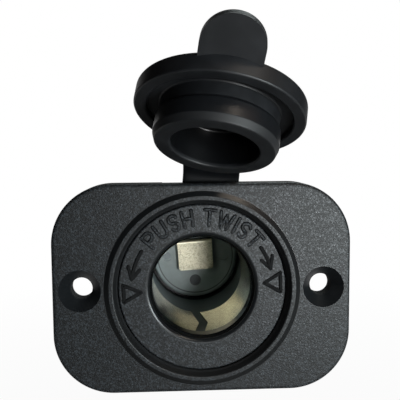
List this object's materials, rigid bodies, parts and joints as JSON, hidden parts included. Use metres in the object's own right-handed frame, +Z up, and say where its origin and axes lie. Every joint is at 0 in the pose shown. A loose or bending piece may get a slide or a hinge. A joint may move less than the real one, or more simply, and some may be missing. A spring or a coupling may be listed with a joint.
{
  "type": "cigarette lighter socket",
  "caption": "Panel-mount 12 V lighter socket: rectangular screw plate with a raised ring, round deep bore with a split ground band, spring centre contact and a hinged rubber cap.",
  "frame": {"origin": "midway between the two screw holes, on the bore's axis, on the plate's back face that lies on the panel", "axes": "+Y along the bore into the panel (the mouth looks towards -Y), +X along the row of screw holes to the right as seen from the front, +Z up towards the cap's strap"},
  "size_m": [0.0644, 0.0971, 0.0727],
  "materials": {
    "plate_nylon": "fine spark-eroded grain",
    "body_nylon": "satin moulded",
    "nut_nylon": "satin moulded",
    "base_nylon": "satin moulded",
    "plated_brass": "drawn strip, nickel plated",
    "cap_rubber": "smooth moulded rubber"
  },
  "bodies": {
    "socket": {"mounting_plate": "plate_nylon", "socket_body": "body_nylon", "clamp_nut": "nut_nylon", "terminal_base": "base_nylon", "ground_band": "plated_brass", "centre_contact": "plated_brass", "ground_terminal": "plated_brass", "centre_terminal": "plated_brass", "terminal_rivets": "plated_brass", "cap_tether": "cap_rubber"},
    "cap": {"protective_cap": "cap_rubber"}
  },
  "joints": [
    {"name": "cap_hinge", "type": "hinge", "parent": "socket", "child": "cap", "pos_m": [0, -0.0058, 0.02585], "axis": [0.9937, -0.061, -0.0939], "range_deg": [-40, 114], "stiffness_Nm_per_rad": 0.02, "springref_deg": -2.29, "deforming": ["cap_tether"]}
  ]
}
